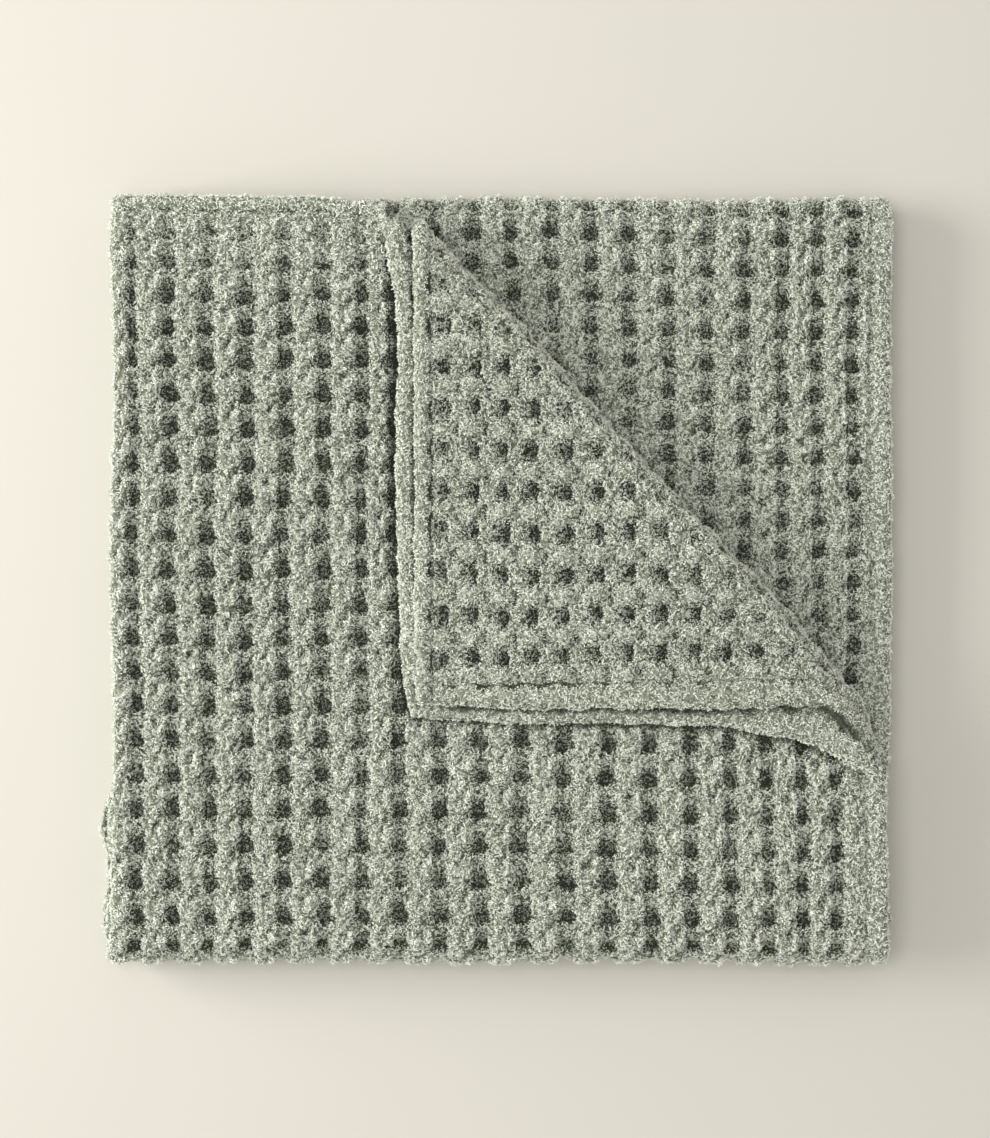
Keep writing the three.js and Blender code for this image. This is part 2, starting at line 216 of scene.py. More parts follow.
# Pit columns of the waffle across X: on the top third, near its hem and its crease, and on the inner third
COLUMNS = {
    "number": (0, 4, 6, 7, 10, 14, 16, 18, 19),
    "top": (-291, -169, -108.7, -87, 16, 148, 208, 260.6, 291),
    "low": (-285, -171, -110, -80.6, 16, 148.4, 208.4, 260.6, 291),
    "inner": (-290, -150, -87, -56, 37, 157, 215, 269.5, 299.5),
}
COLUMN_BLEND_Y = (270.0, -200.0)
EDGE_COLUMN_PITCH = 30.0

# Rows of pits: how far they lie from the end hem, on the top third and on the flap, and how they sag
ROWS = {
    "row": (-1, 0, 1, 3, 5, 11, 14, 21),
    "along": (8.6, 31.2, 53.8, 103.8, 156.1, 321.5, 399.6, 590.8),
}
FLAP_ROWS = {
    "row": (0, 3, 6, 8, 100),
    "along": (22.5, 93.5, 173, 228, 2620),
}
ROW_SAG = 4.0
ROW_SAG_X = (0.0, 120.0)
LATER_ROW_PITCH = 26.0
INNER_ROW_Y = 267.0
INNER_ROW_PITCH = 24.6
INNER_ROW_RISE = 6.0
INNER_ROW_RISE_X = (190.0, 90.0)

# Columns of pits on the flap, from its side hem, and how they lean
FLAP_COLUMN_PITCH = 27.0
FLAP_FIRST_COLUMN = 37.0
FLAP_COLUMN_SKEW = 0.058
FLAP_SKEW_FROM = 100.0
FLAP_SKEW_REACH = (20.0, 90.0)

# How far the cells drift, in shares of a cell
DRIFTS = {
    "column": [{"by": 0.05, "cells": 3.0, "seed": 8}, {"by": 0.055, "cells": 0.7, "seed": 14}],
    "row": [{"by": 0.06, "cells": 2.5, "seed": 9}, {"by": 0.05, "cells": 0.7, "seed": 16}],
}

# The knit on each half's face: depth of its pits, drop of the bars between them, and, in shares of a row,
# where a bar falls into a pit and rises behind it, and how far its ends bow on the ribs before and after it.
# How uneven the pits are, each and by region, between which depths their fibres take painted shade and grow
# shorter, how faint they are at the end hem, where they start to grow and where they are full. A mark splits
# each rib beside a bar: its place and half size in shares of a column and a row, and its depth.
FAINT_START = 5.0
KNIT = {
    "upper": {
        "depth": 13.5, "drop": 3.7, "fall": (0.10, 0.82), "rise": (0.83, 0.99), "bow": (0.25, 0.02),
        "uneven": (0.24, 0.20), "dark": (2.6, 11.8), "faint": (0.45, 70.0),
        "mark": (-0.475, 0.12), "mark_size": (0.09, 0.15), "mark_depth": 7.0,
    },
    "lower": {
        "depth": 13.0, "drop": 1.8, "fall": (0.20, 0.90), "rise": (0.92, 1.0), "bow": (0.32, 0.32),
        "uneven": (0.12, 0.10), "dark": (6.0, 12.5), "faint": (0.72, 45.0),
        "mark": (0.45, 0.13), "mark_size": (0.15, 0.09), "mark_depth": 8.5,
    },
}

# Strands of the ribs: middle and half width in shares of a column, how full and how low they are, how much
# and where in a row they swell, and how far they sway from side to side
STRANDS = {
    "upper": [
        {"middle": 0.38, "half": 0.18, "full": 2.2, "low": 0.0, "puff": 0.9, "crest": 0.35, "sway": 0.04},
        {"middle": -0.30, "half": 0.19, "full": 1.7, "low": 0.6, "puff": 3.2, "crest": 0.16, "sway": 0.0},
        {"middle": -0.49, "half": 0.16, "full": 2.0, "low": 0.0, "puff": 0.0, "crest": 0.35, "sway": 0.0},
    ],
    "lower": [
        {"middle": 0.50, "half": 0.31, "full": 2.0, "low": 0.0, "puff": 1.6, "crest": 0.35, "sway": 0.0},
    ],
}
STRAND_JOIN = 0.7

# Shape of the pits, in shares of a column: where a bar's ends bow, a pit's floor and half width, how far it
# lies aside, how much of its depth its sides lose, and how its steep end is rounded. Its place in a row.
BOW_REACH = (0.12, 0.48)
PIT_HALF = (0.06, 0.40)
PIT_ASIDE = 0.02
PIT_SIDE_LOSS = 0.75
PIT_ROUNDING = {"by": 0.10, "half": 0.2, "most": 1.5}
PIT_ROW = 0.84
PIT_PHASE = 0.73

# Unevenness of the knit: height of the bars, cells in a region of pits, and the marks' depth and cells
BAR_UNEVEN = 0.7
REGION_CELLS = 2.2
MARK_MEAN = 0.8
MARK_UNEVEN = 0.35
MARK_CELLS = 0.8

# How much of the relief is left where the cloth is hidden or starts to bend, and how much is lost at the
# side crease, in the folds, on the inner third and at the front of the top third
HIDDEN_RELIEF = 0.3
BEND_RELIEF = 0.6
BEND_REACH = (-10.0, 25.0)
CREASE_LOSS = 0.4
FOLD_LOSS = 0.55
INNER_LOSS = 0.12
FRONT_LOSS = 0.08
FRONT_REACH = (-60.0, -160.0)

# Lumps of the cloth and tufts of its yarn
LUMPS = [{"height": 1.0, "cell": 45.0, "seed": 13}, {"height": 0.4, "cell": 11.0, "seed": 12}]
TUFT = 7.0
TUFT_HEIGHT = 0.8
TUFT_JITTER = (0.1, 0.9)

# How the bundle settles: length of its waves, how far its edges waver, and how much its top rolls
SETTLE_WAVE = 260.0
EDGE_WAVER = 1.6
EDGE_PHASES = (1.0, 2.0)
TOP_ROLL = 1.4
ROLL_WAVES = (0.7, 0.6)
ROLL_PHASE = 0.5

# Mesh steps: fine where the knit shows, sparse between hidden plies
FINE = 2.75
COARSE = 16
HALF_COARSE = 4
CREASE_STEPS = 12
FACE_TURN = 0.99
FRONT_STEPS = 35
BACK_STEPS = 23
LOWER_SPACING = 12.0
LOWER_FINE_X = -66.0
UNDER_FLAP_X = -60.0
UNDER_FLAP_Y = -90.0
FLAP_SHOWS_FROM = -12.0
INNER_SHOWS_FROM = 6.0

# Pile: short fibres all over the knit that shows, fewer on the sides, on the lowest third and in the pits
FIBRES = 784_000
FIBRE_PIECES = 4
FIBRE_LENGTH = (2.3, 4.0)
FIBRE_WIDTH = 0.9
FIBRE_LIFT = (0.1, 1.3)
SIDE_PILE = 0.9
LOWEST_PILE = 0.25
PIT_PILE_LOSS = 0.4
PIT_PILE_DEPTHS = (3.0, 10.0)
FINER_RELIEF = (-2.5, 1.5)
FLOOR_CLEARANCE = 0.3

# Lean of the fibres: upright, by clumps and at random. How far they gather to their clump, and its size.
UPRIGHT = 0.35
CLUMP_LEAN = 0.8
RANDOM_LEAN = 0.7
TUFTING = 0.8
CLUMP = 3.0
CLUMP_SLANT = (0.6, 0.8)

# How much shorter the fibres are on steep sides, in pits, at stitches, in gaps and in crevices between tufts
SHORTER = {"steep": 0.55, "pit": 0.25, "stitch": 0.75, "gap": 0.5, "crevice": 0.35}
STEEP = (0.25, 0.9)
STITCH_REACH = (0.5, 4.0)
CREVICE_WIDTH = (0.2, 2.0)
CREVICE_DROP = 0.6
CREVICE_UNEVEN = 0.4
CREVICE_CELL = 14.0

# Shade of the fibres: a base, and what adds to it and what takes from it: a painted highlight on the crests
# of the ribs, patches and random flecks of the yarn's own tone, and painted shade in the pits, in crevices
# between tufts and in the stitched grooves. The change at each corner is painted shade at the root and a
# painted highlight along one edge of the cut end. By how much of the cloth's own way and of the fibre's they
# are lit.
TONE = {
    "base": 0.745, "crest_highlight": 0.09, "patch": 0.03, "random": 0.04,
    "pit": 0.33, "crevice": 0.2, "stitch": 0.75,
}
CORNER_SHADES = (-0.18, -0.06, 0.07)
HIGHLIGHT_DEPTHS = (-2.0, 0.3)
LOWER_HIGHLIGHT_LOSS = 0.6
PATCH_CELL = 9.0
PATCH_SLANT = 0.5
STITCH_WIDTH = (0.4, 1.7)
CLOTH_GLOW = 0.75
FIBRE_GLOW = 0.27

# Stitched lines of the hems, grooves with painted shade and shorter fibres in them: how far they waver, how
# strong they are, and how they fade along the side hem
STITCH_WAVER = 1.0
STITCH_LEAST = 0.2
STITCH_UNEVEN = 1.2
STITCH_CELLS = 0.9
STITCH_RANGE = (-0.6, 0.9)
STITCH_FADE = 0.45
STITCH_FADE_ROWS = (3.0, 8.0)
UPPER_STITCH = 0.55

# Painted shade on the cloth under the pile: how much darker it is under pile, in gaps and along stitches, as
# millimetres of depth, and how much each millimetre of depth darkens it, so that it is darker deep in the
# pits
CLOTH_PAINTED_SHADE = {"pile": 3.0, "gap": 6.0, "stitch": 8.0}
CLOTH_STITCH_WIDTH = (0.5, 2.5)
SHADE_OF_DEPTH = 0.06

# Studio: soft light from the left and from above, in metres and watts, and a camera straight above
LIGHT_COLOR = (1.0, 0.985, 0.96)
LIGHTS = [
    {"name": "key", "place": (-2.9, 0.4, 1.1), "size": 2.0, "power": 128},
    {"name": "overhead", "place": (-0.4, 0.1, 2.6), "size": 1.2, "power": 29},
]
ROOM_COLOR = (1.0, 0.985, 0.95, 1)
ROOM_LIGHT = 0.52
CAMERA_X = -0.0051
CAMERA_Y = 0.0093
CAMERA_DISTANCE = 1.7
FRAME_HEIGHT = 0.8865
SENSOR = 36

# Seeds of the random values, and how many of them a lattice has before it repeats
SEEDS = {
    "pile": 7, "pit": 10, "bar": 11, "region": 15, "mark": 19, "hem_x": 20, "hem_y": 21,
    "clump": 17, "patch": 27, "stitch": 37, "tuft": 47, "crevice": 48,
}
LATTICE = 256


def smoothstep(low, high, value):
    share = np.clip((value - low) / (high - low), 0, 1)
    return share * share * (3 - 2 * share)


def random_table(seed):
    """Random values from -1 to 1 at the points of a lattice that repeats."""
    return np.random.default_rng(seed).uniform(-1, 1, (LATTICE, LATTICE))


def lattice_noise(x, y, cell, seed):
    """Smooth noise from -1 to 1 over a plane, with a random value at each lattice point."""
    values = random_table(seed)
    column, row = np.floor(x / cell), np.floor(y / cell)
    across, down = x / cell - column, y / cell - row
    across, down = across**2 * (3 - 2 * across), down**2 * (3 - 2 * down)
    i, j = column.astype(int) % LATTICE, row.astype(int) % LATTICE
    next_i, next_j = (i + 1) % LATTICE, (j + 1) % LATTICE
    near = values[i, j] * (1 - across) + values[next_i, j] * across
    far = values[i, next_j] * (1 - across) + values[next_i, next_j] * across
    return near * (1 - down) + far * down


def cell_random(column, row, seed):
    """One random value from -1 to 1 for each cell of the waffle."""
    return random_table(seed)[column.astype(int) % LATTICE, row.astype(int) % LATTICE]


def by_half(lower, values):
    """The value of the lower or of the upper half, whichever each place lies on."""
    return np.where(lower > 0.5, values["lower"], values["upper"])


def hem_profile(width):
    """Steps over a rolled hem, from its turning round the rim to the groove: place, inset and height."""
    steps = [(step["place"], -1.0, step["height"]) for step in TURNING]
    for turn in RIM_TURNS:
        place = width / 2 * (1 - math.cos(turn))
        steps.append((place, place, PLY / 2 * (math.sin(turn) - 1)))
    for step in GROOVE:
        place = step["share"] * width
        steps.append((place, place, step["height"]))
    return steps


def section_lines():
    """Lines along the cloth, across its width: the upper half, the side crease, then the lower half."""
    hem = hem_profile(SIDE_HEM)
    hem_end = HEM_X - HEM_END_SHARE * SIDE_HEM
    upper_face, lower_face = math.pi / 2, math.pi * 1.5
    lines = [(HEM_X - place, upper_face, inset, height) for place, inset, height in hem]
    lines += [(x, upper_face, HEM_X - x, 0.0) for x in np.arange(hem_end, CREASE_X, -FINE)]
    turns = np.linspace(upper_face, lower_face, CREASE_STEPS + 1)
    lines += [(CREASE_X, turn, HEM_X - CREASE_X, 0.0) for turn in turns]
    sparse = np.arange(CREASE_X + LOWER_SPACING, LOWER_FINE_X, LOWER_SPACING)
    fine = np.arange(LOWER_FINE_X, hem_end + FINE / 2, FINE)
    lines += [(x, lower_face, HEM_X - x, 0.0) for x in [*sparse, *fine]]
    lines += [(HEM_X - place, lower_face, inset, height) for place, inset, height in reversed(hem)]
    return np.array(lines)


def path_stations():
    """Steps along the folded length: place on the path, inset from the end hem, and height there."""
    flat_steps = np.arange(HEM_END_SHARE * END_HEM, TOP_END, FINE)
    front_steps = np.linspace(TOP_END, FRONT_END, FRONT_STEPS)
    lowest_steps = np.arange(FRONT_END, LOWEST_END, FINE)[1:]
    back_steps = np.linspace(LOWEST_END, BACK_END, BACK_STEPS)
    inner_steps = np.arange(BACK_END, PATH_END, FINE)[1:]
    rest = np.concatenate([flat_steps, front_steps, lowest_steps, back_steps, inner_steps, [PATH_END]])
    return np.array(hem_profile(END_HEM) + [(v, v, 0.0) for v in rest])


def path_frame(v):
    """Y and Z of the doubled cloth's middle, its upper face's direction, and the turn at each crease."""
    front = np.clip((v - TOP_END) / FRONT_RADIUS, 0, math.pi)
    back = np.clip((v - LOWEST_END) / BACK_RADIUS, 0, math.pi)
    normal_y = np.sin(back) - np.sin(front)
    normal_z = np.where(v < LOWEST_END, np.cos(front), -np.cos(back))
    forth = np.clip(v - FRONT_END, 0, BACK_Y - FRONT_Y)
    y = TOP_HEM_Y - np.minimum(v, TOP_END) + forth - np.maximum(v - BACK_END, 0)
    y = y - FRONT_RADIUS * np.sin(front) + BACK_RADIUS * np.sin(back)
    z = TOP_Z - FRONT_RADIUS * (1 - np.cos(front)) + BACK_RADIUS * (1 - np.cos(back))
    return y, z, normal_y, normal_z, front / math.pi, back / math.pi


def diagonal_frame(x, y):
    """Distances along the bend of the turned-back corner and across it, towards the free corner."""
    dx, dy = x - DIAGONAL_START[0], y - DIAGONAL_START[1]
    along = dx * ALONG[0] + dy * ALONG[1]
    across = dx * ACROSS[0] + dy * ACROSS[1] + BEND_START
    return along, across


def halves(turn):
    """Which lines lie on the face of the upper half, and which on that of the lower half."""
    return np.sin(turn) > FACE_TURN, np.sin(turn) < -FACE_TURN


def station_mask(x, turn, inset, v, end_inset):
    """How closely a line is stepped: 2 for every step, 1 for some, 0 for few. Also the pile's density."""
    y = path_frame(v)[0]
    across = diagonal_frame(x, y)[1]
    on_top, on_inner = v <= TOP_END, v >= BACK_END
    on_lowest = (v >= FRONT_END) & (v <= LOWEST_END)
    in_crease = ~(on_top | on_inner | on_lowest)
    upper, lower = halves(turn)
    side = ~(upper | lower)
    side_hem, end_hem = inset < HEM_END_SHARE * SIDE_HEM, end_inset < HEM_END_SHARE * END_HEM
    under_flap = (x > UNDER_FLAP_X) & (y > UNDER_FLAP_Y) & (across <= 0)
    top_shows = upper & on_top & ~under_flap & (across <= 0)
    flap_shows = lower & on_top & (across > FLAP_SHOWS_FROM) & (x > LOWER_FINE_X)
    inner_shows = upper & on_inner & (across > INNER_SHOWS_FROM)
    fine = top_shows | flap_shows | inner_shows | (upper & in_crease) | end_hem
    fine |= side_hem & on_top
    level = np.where(fine, 2, np.where(side | side_hem, 1, 0))
    pile = np.where(fine, 1.0, 0.0)
    pile = np.where(side | side_hem, SIDE_PILE, pile)
    pile = np.where(upper & on_lowest, LOWEST_PILE, pile)
    return level, pile


def zip_lines(rails):
    """Triangles between neighbouring lines that may have different steps."""
    triangles = []
    for (keys_a, start_a), (keys_b, start_b) in zip(rails, rails[1:]):
        i = j = 0
        last_a, last_b = len(keys_a) - 1, len(keys_b) - 1
        while i < last_a or j < last_b:
            next_a = keys_a[i + 1] if i < last_a else math.inf
            next_b = keys_b[j + 1] if j < last_b else math.inf
            if next_a <= next_b:
                triangles.append((start_a + i, start_b + j, start_a + i + 1))
                i += 1
            else:
                triangles.append((start_a + i, start_b + j, start_b + j + 1))
                j += 1
    return np.array(triangles)


def column_number(x, y, inner):
    """Which pit column of the waffle lies at x, as a number with a fraction."""
    down = smoothstep(*COLUMN_BLEND_Y, y)
    top, low, on_inner = [np.interp(x, COLUMNS[name], COLUMNS["number"]) for name in ("top", "low", "inner")]
    beyond = np.minimum(x - COLUMNS["low"][0], 0) / EDGE_COLUMN_PITCH
    return np.where(inner, on_inner, top * (1 - down) + low * down) + beyond


def row_at(along, rows):
    return np.interp(along, rows["along"], rows["row"])


def row_number(v, x, y, front, back):
    """Which row of pits lies at a place on the upper half's face, as a number with a fraction."""
    on_top = row_at(np.clip(v, 0, TOP_END) - ROW_SAG * smoothstep(*ROW_SAG_X, x), ROWS)
    outer_front = math.pi * front * (FRONT_RADIUS + HALF_BAND) / LATER_ROW_PITCH
    on_lowest = np.clip(v - FRONT_END, 0, BACK_Y - FRONT_Y) / LATER_ROW_PITCH
    before = on_top + outer_front + on_lowest
    outer_back = math.pi * (1 - back) * (BACK_RADIUS + HALF_BAND)
    first_y = INNER_ROW_Y + INNER_ROW_RISE * smoothstep(*INNER_ROW_RISE_X, x)
    after = (first_y - np.where(v < BACK_END, BACK_Y + outer_back, y)) / INNER_ROW_PITCH
    return np.where(v > LOWEST_END, after, before)


def uneven_cells(column, row):
    """Column and row of the waffle, made uneven as knitted cells are."""
    uneven = {"column": column, "row": row}
    for name, drifts in DRIFTS.items():
        for drift in drifts:
            by = drift["by"] * lattice_noise(column, row, drift["cells"], drift["seed"])
            uneven[name] = uneven[name] + by
    return uneven["column"], uneven["row"] + PIT_PHASE


def waffle(column, row, name):
    """Height of the knit: rounded strands, and bars that rise steeply from each pit and fall to the next."""
    knit = KNIT[name]
    depth, drop = knit["depth"], knit["drop"]
    from_pit = column - np.round(column)
    sway = np.cos(2 * math.pi * (row - PIT_ROW))
    from_mark = [place - middle for place, middle in zip((column, row), knit["mark"])]
    from_mark = [(place - np.round(place)) / size for place, size in zip(from_mark, knit["mark_size"])]
    row = row - np.where(from_pit < 0, *knit["bow"]) * smoothstep(*BOW_REACH, np.abs(from_pit))
    cell = np.floor(row)
    in_row = row - cell

    # Bars and pits
    rounding = np.minimum((from_pit / PIT_ROUNDING["half"]) ** 2, PIT_ROUNDING["most"])
    rise = smoothstep(*knit["rise"], in_row + PIT_ROUNDING["by"] * rounding)
    sink = smoothstep(*knit["fall"], in_row) * (1 - rise)
    sink = sink * (1 - PIT_SIDE_LOSS * smoothstep(*PIT_HALF, np.abs(from_pit - PIT_ASIDE)))
    each = knit["uneven"][0] * cell_random(np.round(column), cell, SEEDS["pit"])
    by_region = knit["uneven"][1] * lattice_noise(column, row, REGION_CELLS, SEEDS["region"])
    bar = BAR_UNEVEN * cell_random(np.round(column), cell, SEEDS["bar"]) - drop
    height = bar - (depth * (1 + each + by_region) - drop) * sink

    # Strands, and the marks that split them
    for strand in STRANDS[name]:
        from_middle = column - strand["middle"] - strand["sway"] * sway
        from_middle = np.abs(from_middle - np.round(from_middle))
        share = np.clip(from_middle / strand["half"], 0, 1)
        round_top = (1 - share ** strand["full"]) ** (1 / strand["full"])
        puff = strand["puff"] * np.cos(2 * math.pi * (in_row - strand["crest"]))
        top = puff - strand["low"] - depth * (1 - round_top)
        height = STRAND_JOIN * np.logaddexp(height / STRAND_JOIN, top / STRAND_JOIN)
    mark = MARK_MEAN + MARK_UNEVEN * lattice_noise(column, row, MARK_CELLS, SEEDS["mark"])
    return height - knit["mark_depth"] * mark * np.exp(-from_mark[0] ** 2 - from_mark[1] ** 2)


def tufts(u, v):
    """How far each place of the flat cloth lies from the middle of its tuft and from a crevice beside it."""
    jitter = np.random.default_rng(SEEDS["tuft"]).uniform(*TUFT_JITTER, (LATTICE, LATTICE, 2))
    column, row = np.floor(u / TUFT), np.floor(v / TUFT)
    nearest, second = np.full(len(u), np.inf), np.full(len(u), np.inf)
    for across in (-1, 0, 1):
        for down in (-1, 0, 1):
            i, j = column + across, row + down
            middle = jitter[i.astype(int) % LATTICE, j.astype(int) % LATTICE]
            distance = np.hypot((i + middle[:, 0]) * TUFT - u, (j + middle[:, 1]) * TUFT - v)
            second = np.minimum(second, np.maximum(nearest, distance))
            nearest = np.minimum(nearest, distance)
    return nearest, second - nearest


def face_relief(column, row, lower):
    return by_half(lower, {name: waffle(column, row, name) for name in KNIT})


def plain_share(inset, end_inset, lower):
    """Where the hems are plain, and how the waffle grows fainter towards the end hem."""
    from_side = smoothstep(SIDE_HEM, SIDE_HEM + HEM_EASE, inset)
    from_end = smoothstep(END_HEM, END_HEM + HEM_EASE, end_inset)
    share = {}
    for name in KNIT:
        faint, reach = KNIT[name]["faint"]
        share[name] = faint + (1 - faint) * smoothstep(END_HEM + FAINT_START, END_HEM + reach, end_inset)
    return from_side * from_end * by_half(lower, share)


def bend_over(x, y, half):
    """Lays one half's free corner over the diagonal: place, lift, turn, and how far past the bend it is."""
    radius = half["radius"]
    along, across = diagonal_frame(x, y)
    turn = np.clip(across / radius, 0, math.pi)
    past = np.maximum(across - math.pi * radius, 0)
    reach = half["reach"] + half["swell"] * np.exp(-(((along - SWELL_ALONG) / SWELL_WIDTH) ** 2))
    new_across = np.where(across > 0, reach * np.sin(turn) - past * half["stretch"], across) - BEND_START
    new_along = along + half["skew"] * past
    new_x = DIAGONAL_START[0] + new_along * ALONG[0] + new_across * ACROSS[0]
    new_y = DIAGONAL_START[1] + new_along * ALONG[1] + new_across * ACROSS[1]
    return new_x, new_y, radius * (1 - np.cos(turn)), turn, past


def diagonal_place(along, across):
    """Place on the flat cloth at distances along and across the bend."""
    return DIAGONAL_START + along * ALONG + (across - BEND_START) * ACROSS


def flap_shifts(name):
    """Places on the flat cloth and how far each moves, so that the turned-back hems lie where they do."""
    half, hems = FLAP[name], FLAP_HEMS[name]
    steps = np.arange(0, BUNDLE_X, HEM_STEP)
    side = np.stack([np.full(len(steps), HEM_X), TOP_HEM_Y - steps], axis=1)
    end = np.stack([HEM_X - steps[1:], np.full(len(steps) - 1, TOP_HEM_Y)], axis=1)
    places, shifts = [], []
    for hem, on_side in ((side, True), (end, False)):
        x, y, _, _, past = bend_over(*hem.T, half)
        left = np.interp(y, hems["left_y"], hems["left_x"]) + PILE_STAND - x
        bottom = np.interp(x, hems["bottom_x"], hems["bottom_y"]) + PILE_STAND - y
        corner = steps[:len(x)] == 0 if on_side else np.zeros(len(x), bool)
        move = np.stack([np.where(corner | (not on_side), left, 0), np.where(on_side, bottom, 0)], axis=1)
        far = past > (0 if on_side else HEM_STEP)
        places.append(hem[far])
        shifts.append(move[far])
    bend, still_bend = BEND_SHIFTS[name], STILL_BEND[name]
    places.append([diagonal_place(*place) for place in zip(bend["along"], bend["across"])])
    shifts.append(np.stack([bend["x"], bend["y"]], axis=1))
    still = [(along, still_bend["across"]) for along in still_bend["along"]]
    still += [(along, STILL_ACROSS) for along in STILL_ALONG]
    places.append([diagonal_place(*place) for place in still])
    shifts.append(np.zeros((len(still), 2)))
    return np.concatenate(places), np.concatenate(shifts)


def spread(places, shifts, at):
    """Smooth field that takes the given shifts at the given places, as a thin plate bends through points."""
    length = 100.0

    def bending(a, b):
        squared = ((a[:, None, :] - b[None]) ** 2).sum(axis=2) / length**2
        return squared * np.log(squared + 1e-12)

    def tilt(a):
        return np.hstack([np.ones((len(a), 1)), a / length])

    matrix = np.block([[bending(places, places), tilt(places)], [tilt(places).T, np.zeros((3, 3))]])
    weights = np.linalg.solve(matrix, np.vstack([shifts, np.zeros((3, 2))]))
    return bending(at, places) @ weights[:-3] + tilt(at) @ weights[-3:]


def gap_share(x, y, name):
    """How deeply a place lies in the gap beside a turned-back hem above it."""
    hems, gaps = FLAP_HEMS[name], FLAP_GAPS[name]
    left = np.interp(y, hems["left_y"], hems["left_x"]) - x
    bottom = np.interp(x, hems["bottom_x"] + gaps["curl_x"], hems["bottom_y"] + gaps["curl_y"]) - y
    left_gap = np.interp(y, gaps["left_y"], gaps["left_gap"])
    bottom_gap = np.interp(x, gaps["bottom_x"], gaps["bottom_gap"])
    outside = np.maximum(left / left_gap, bottom / bottom_gap)
    return smoothstep(*GAP_INSIDE, outside) * (1 - smoothstep(*GAP_OUTSIDE, outside))


def curl_share(x, y):
    """How deeply a place on the turned-back face lies in the groove where the end of its hem curls down."""
    gaps = FLAP_GAPS["lower"]
    from_groove = np.abs(y - np.interp(x, gaps["curl_x"], gaps["curl_y"]))
    ends = smoothstep(*CURL_START, x) * (1 - smoothstep(*CURL_END, x))
    return ends * (1 - smoothstep(*CURL_WIDTH, from_groove))


def turn_back(base, name):
    """One half of the top third, its corner turned back: points, normals, and the share of height left."""
    half = FLAP[name]
    x, y, z = base.T
    new_x, new_y, lift, turn, _ = bend_over(x, y, half)
    near = smoothstep(STILL_ACROSS, STILL_ACROSS / 3, diagonal_frame(x, y)[1])
    shift = spread(*flap_shifts(name), base[:, :2]) * near[:, None]
    points = np.stack([new_x + shift[:, 0], new_y + shift[:, 1], z + lift], axis=1)
    level = -half["facing"] * np.sin(turn)
    pinch = 1 - half["pinch"] * np.sin(turn)
    normals = np.stack([level * ACROSS[0], level * ACROSS[1], half["facing"] * np.cos(turn)], axis=1)
    return points, normals, pinch


def settle(points):
    """Soft unevenness of the bundle: its edges waver and its top rolls."""
    x, y, z = points.T
    turn = 2 * math.pi / SETTLE_WAVE
    roll = np.sin(x * turn * ROLL_WAVES[0]) * np.cos(y * turn * ROLL_WAVES[1] + ROLL_PHASE)
    new_x = x + EDGE_WAVER * np.sin(y * turn + EDGE_PHASES[0]) * x / BUNDLE_X
    new_y = y + EDGE_WAVER * np.sin(x * turn + EDGE_PHASES[1]) * y / BUNDLE_Y
    return np.stack([new_x, new_y, z + TOP_ROLL * z / TOP_FACE * roll], axis=1)


def unit(ways):
    return ways / np.maximum(np.linalg.norm(ways, axis=1), 1e-9)[:, None]


def facing_ways(corners):
    """The way each triangle faces, twice as long as its area."""
    return np.cross(corners[:, 1] - corners[:, 0], corners[:, 2] - corners[:, 0])


def vertex_normals(points, triangles):
    facing = facing_ways(points[triangles])
    normals = np.zeros_like(points)
    for corner in range(3):
        np.add.at(normals, triangles[:, corner], facing)
    return unit(normals)


def cloth_surface():
    """The whole cloth as one sheet: points, triangles, flat layout, outward ways, and values of the knit."""
    lines = section_lines()
    stations = path_stations()
    numbers = np.arange(len(stations))
    rails, picked = [], []
    start = 0
    for index, (x, turn, inset, _) in enumerate(lines):
        level, _ = station_mask(x, turn, inset, stations[:, 0], stations[:, 1])
        keep = (level == 2) | ((level == 1) & (numbers % HALF_COARSE == 0)) | (numbers % COARSE == 0)
        keep[-1] = True
        keys = numbers[keep]
        rails.append((keys.tolist(), start))
        picked.append(np.stack([np.full(len(keys), index), keys], axis=1))
        start += len(keys)
    triangles = zip_lines(rails)
    line_at, station_at = np.concatenate(picked).T
    x, turn, inset, side_height = lines[line_at].T
    v, end_inset, end_height = stations[station_at].T
    points, out, knit = place_cloth(x, turn, inset, side_height, v, end_inset, end_height)
    knit["pile"] = station_mask(x, turn, inset, v, end_inset)[1]
    flat = np.stack([line_at / len(lines), station_at / len(stations)], axis=1)
    return points, triangles, flat, out, knit


def third_shift(edge, y, front, back):
    """How far the hem or the crease of a lower third lies from the top third's."""
    lowest = np.interp(y, LOWER_THIRDS["y"], LOWER_THIRDS[edge + "_lowest"])
    inner = np.interp(y, LOWER_THIRDS["y"], LOWER_THIRDS[edge + "_inner"])
    return lowest * front + (inner - lowest) * back


def tuck_turning(place, inset, height, turned):
    """The turning of a hem shows only where the cloth is turned back, and is tucked in elsewhere."""
    tucked = (inset < 0) & ~turned
    return np.where(tucked, TUCK * place, place), np.where(tucked, -PLY, height), np.maximum(inset, 0)


def knit_cells(x, y, v, across_crease, lower, inner, front, back):
    """Column and row of the waffle at each place, as numbers with a fraction."""
    from_hem = HEM_X - x
    skew = FLAP_COLUMN_SKEW * (v - FLAP_SKEW_FROM) * smoothstep(*FLAP_SKEW_REACH, from_hem)
    on_flap = (from_hem + skew - FLAP_FIRST_COLUMN) / FLAP_COLUMN_PITCH
    column = np.where(lower, on_flap, column_number(x - across_crease, y, inner))
    row = np.where(lower, row_at(v, FLAP_ROWS), row_number(v, x, y, front, back))
    return uneven_cells(column, row)


